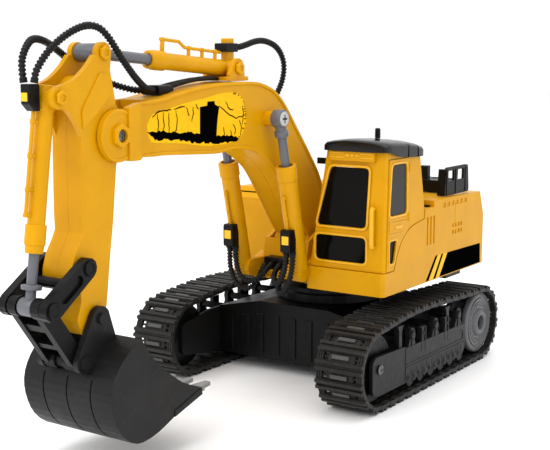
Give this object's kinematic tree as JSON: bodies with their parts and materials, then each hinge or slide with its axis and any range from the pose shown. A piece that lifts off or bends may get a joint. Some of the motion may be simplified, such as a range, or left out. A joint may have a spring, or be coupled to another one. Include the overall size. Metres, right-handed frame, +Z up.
{
  "type": "toy excavator",
  "caption": "Radio-controlled toy crawler excavator: turning house with cab, gooseneck boom, stick and bucket with dummy hydraulic cylinders, on driven tracks.",
  "frame": {"origin": "on the ground, under the middle of the whole machine with its arm straight ahead", "axes": "+Z up; -Y is the way the machine drives and digs; +X is the machine's left, the cab side; the house turns about the vertical line at Y = 0.0959"},
  "size_m": [0.17, 0.3679, 0.2232],
  "materials": {
    "yellow_plastic": "moulded, satin-gloss yellow with fine edges",
    "black_plastic": "moulded, satin black",
    "track_plastic": "moulded, semi-matt black",
    "grey_plastic": "moulded, satin mid grey",
    "light_grey_plastic": "moulded, light grey",
    "smoked_window": "polished smoked black",
    "bare_steel": "drawn can",
    "green_board": "printed circuit board",
    "black_hose": "ribbed and smooth black hose"
  },
  "bodies": {
    "undercarriage": {"track_belt_left": "track_plastic", "track_belt_right": "track_plastic", "track_frame_left": "black_plastic", "track_frame_right": "black_plastic", "chassis_center": "black_plastic", "battery_cover": "black_plastic", "battery_pack": "black_plastic", "slew_ring": "black_plastic", "drive_motor_left": "bare_steel", "drive_motor_right": "bare_steel"},
    "left_sprocket": {"sprocket_left": "grey_plastic"},
    "right_sprocket": {"sprocket_right": "grey_plastic"},
    "left_idler": {"idler_left": "black_plastic"},
    "right_idler": {"idler_right": "black_plastic"},
    "switch_knob": {"power_switch": "black_plastic"},
    "house": {"house_shell": "yellow_plastic", "house_floor": "black_plastic", "cab_shell": "yellow_plastic", "windscreen": "smoked_window", "lower_windscreen": "smoked_window", "cab_roof": "black_plastic", "antenna": "black_plastic", "engine_cover": "black_plastic", "handrail": "black_plastic", "mirror": "black_plastic", "boom_bracket": "yellow_plastic", "hose_manifold": "black_plastic", "circuit_board": "green_board", "slew_motor": "bare_steel", "boom_hose_outer_left": "black_hose", "boom_hose_outer_right": "black_hose", "boom_hose_inner_left": "black_hose", "boom_hose_inner_right": "black_hose"},
    "door": {"cab_door": "yellow_plastic", "door_window": "smoked_window"},
    "boom": {"boom_left": "yellow_plastic", "boom_right": "yellow_plastic", "stick_cylinder_bracket": "yellow_plastic", "hose_clamp": "black_plastic", "stick_line_left": "black_hose", "stick_line_right": "black_hose", "stick_cylinder_hose": "black_hose"},
    "left_lift_tube": {"boom_cylinder_tube_left": "yellow_plastic"},
    "right_lift_tube": {"boom_cylinder_tube_right": "yellow_plastic"},
    "left_lift_rod": {"boom_cylinder_rod_left": "grey_plastic"},
    "right_lift_rod": {"boom_cylinder_rod_right": "grey_plastic"},
    "crowd_tube": {"stick_cylinder_tube": "yellow_plastic"},
    "crowd_rod": {"stick_cylinder_rod": "grey_plastic"},
    "stick": {"stick_left": "yellow_plastic", "stick_right": "yellow_plastic", "bucket_hose_left": "black_hose", "bucket_hose_right": "black_hose"},
    "curl_tube": {"bucket_cylinder_tube": "yellow_plastic"},
    "curl_rod": {"bucket_cylinder_rod": "grey_plastic"},
    "tipping_arms": {"link_arms": "black_plastic"},
    "tipping_link": {"bucket_link": "black_plastic"},
    "bucket": {"bucket_shell": "black_plastic", "bucket_teeth": "light_grey_plastic"}
  },
  "joints": [
    {"name": "swing", "type": "hinge", "parent": "undercarriage", "child": "house", "pos_m": [0, 0.0959, 0.06], "axis": [0, 0, 1], "continuous": true},
    {"name": "boom_lift", "type": "hinge", "parent": "house", "child": "boom", "pos_m": [0, 0.0559, 0.086], "axis": [-1, 0, 0], "range_deg": [-18, 12]},
    {"name": "stick_crowd", "type": "hinge", "parent": "boom", "child": "stick", "pos_m": [0, -0.1275, 0.1678], "axis": [-1, 0, 0], "range_deg": [-18, 22], "deforming": ["bucket_hose_left", "bucket_hose_right"]},
    {"name": "bucket_curl", "type": "hinge", "parent": "stick", "child": "bucket", "pos_m": [0, -0.1441, 0.0784], "axis": [-1, 0, 0], "range_deg": [-15, 33]},
    {"name": "left_lift_tube_swing", "type": "hinge", "parent": "house", "child": "left_lift_tube", "pos_m": [0.0213, 0.0245, 0.075], "axis": [-1, 0, 0], "range_deg": [-19, 13], "deforming": ["boom_hose_outer_left", "boom_hose_inner_left"]},
    {"name": "left_lift_rod_swing", "type": "hinge", "parent": "boom", "child": "left_lift_rod", "pos_m": [0.0213, 0.0024, 0.1705], "axis": [-1, 0, 0], "range_deg": [-2, 2]},
    {"name": "right_lift_tube_swing", "type": "hinge", "parent": "house", "child": "right_lift_tube", "pos_m": [-0.0213, 0.0245, 0.075], "axis": [-1, 0, 0], "range_deg": [-19, 13], "deforming": ["boom_hose_outer_right", "boom_hose_inner_right"]},
    {"name": "right_lift_rod_swing", "type": "hinge", "parent": "boom", "child": "right_lift_rod", "pos_m": [-0.0213, 0.0024, 0.1705], "axis": [-1, 0, 0], "range_deg": [-2, 2]},
    {"name": "crowd_tube_swing", "type": "hinge", "parent": "boom", "child": "crowd_tube", "pos_m": [0, -0.0221, 0.1999], "axis": [-1, 0, 0], "range_deg": [-3, 3], "deforming": ["stick_cylinder_hose"]},
    {"name": "crowd_rod_slide", "type": "slide", "parent": "crowd_tube", "child": "crowd_rod", "axis": [0, -0.9971, 0.0767], "range_m": [-0.016, 0.013]},
    {"name": "curl_tube_swing", "type": "hinge", "parent": "stick", "child": "curl_tube", "pos_m": [0, -0.164, 0.1875], "axis": [-1, 0, 0], "range_deg": [-3, 6]},
    {"name": "curl_rod_slide", "type": "slide", "parent": "curl_tube", "child": "curl_rod", "axis": [0, -0.1434, -0.9897], "range_m": [-0.013, 0.006]},
    {"name": "tipping_arms_swing", "type": "hinge", "parent": "stick", "child": "tipping_arms", "pos_m": [0, -0.1538, 0.1053], "axis": [-1, 0, 0], "range_deg": [-12, 28]},
    {"name": "tipping_link_swing", "type": "hinge", "parent": "tipping_arms", "child": "tipping_link", "pos_m": [0, -0.1783, 0.0888], "axis": [-1, 0, 0], "range_deg": [-20, 8]},
    {"name": "left_sprocket_spin", "type": "hinge", "parent": "undercarriage", "child": "left_sprocket", "pos_m": [0.06925, 0.1584, 0.0256], "axis": [1, 0, 0], "continuous": true},
    {"name": "left_idler_spin", "type": "hinge", "parent": "undercarriage", "child": "left_idler", "pos_m": [0.06925, 0.0156, 0.0256], "axis": [1, 0, 0], "continuous": true},
    {"name": "right_sprocket_spin", "type": "hinge", "parent": "undercarriage", "child": "right_sprocket", "pos_m": [-0.06925, 0.1584, 0.0256], "axis": [1, 0, 0], "continuous": true},
    {"name": "right_idler_spin", "type": "hinge", "parent": "undercarriage", "child": "right_idler", "pos_m": [-0.06925, 0.0156, 0.0256], "axis": [1, 0, 0], "continuous": true},
    {"name": "door_swing", "type": "hinge", "parent": "house", "child": "door", "pos_m": [0.0766, 0.0611, 0.11], "axis": [0, 0, 1], "range_deg": [0, 60]},
    {"name": "switch_slide", "type": "slide", "parent": "undercarriage", "child": "switch_knob", "axis": [0, 1, 0], "range_m": [0, 0.004]}
  ],
  "couplings": [
    {"joint": "left_lift_tube_swing", "follows": "boom_lift", "ratio": 0.98},
    {"joint": "left_lift_rod_swing", "follows": "boom_lift", "ratio": -0.02},
    {"joint": "left_idler_spin", "follows": "left_sprocket_spin", "ratio": 1},
    {"joint": "right_lift_tube_swing", "follows": "boom_lift", "ratio": 0.98},
    {"joint": "right_lift_rod_swing", "follows": "boom_lift", "ratio": -0.02},
    {"joint": "right_idler_spin", "follows": "right_sprocket_spin", "ratio": 1},
    {"joint": "crowd_tube_swing", "follows": "stick_crowd", "ratio": 0.073},
    {"joint": "crowd_rod_slide", "follows": "stick_crowd", "m_per_rad": -0.0399},
    {"joint": "curl_tube_swing", "follows": "bucket_curl", "ratio": 0.138},
    {"joint": "curl_rod_slide", "follows": "bucket_curl", "m_per_rad": -0.01805},
    {"joint": "tipping_arms_swing", "follows": "bucket_curl", "ratio": 0.766},
    {"joint": "tipping_link_swing", "follows": "bucket_curl", "ratio": -0.524}
  ]
}
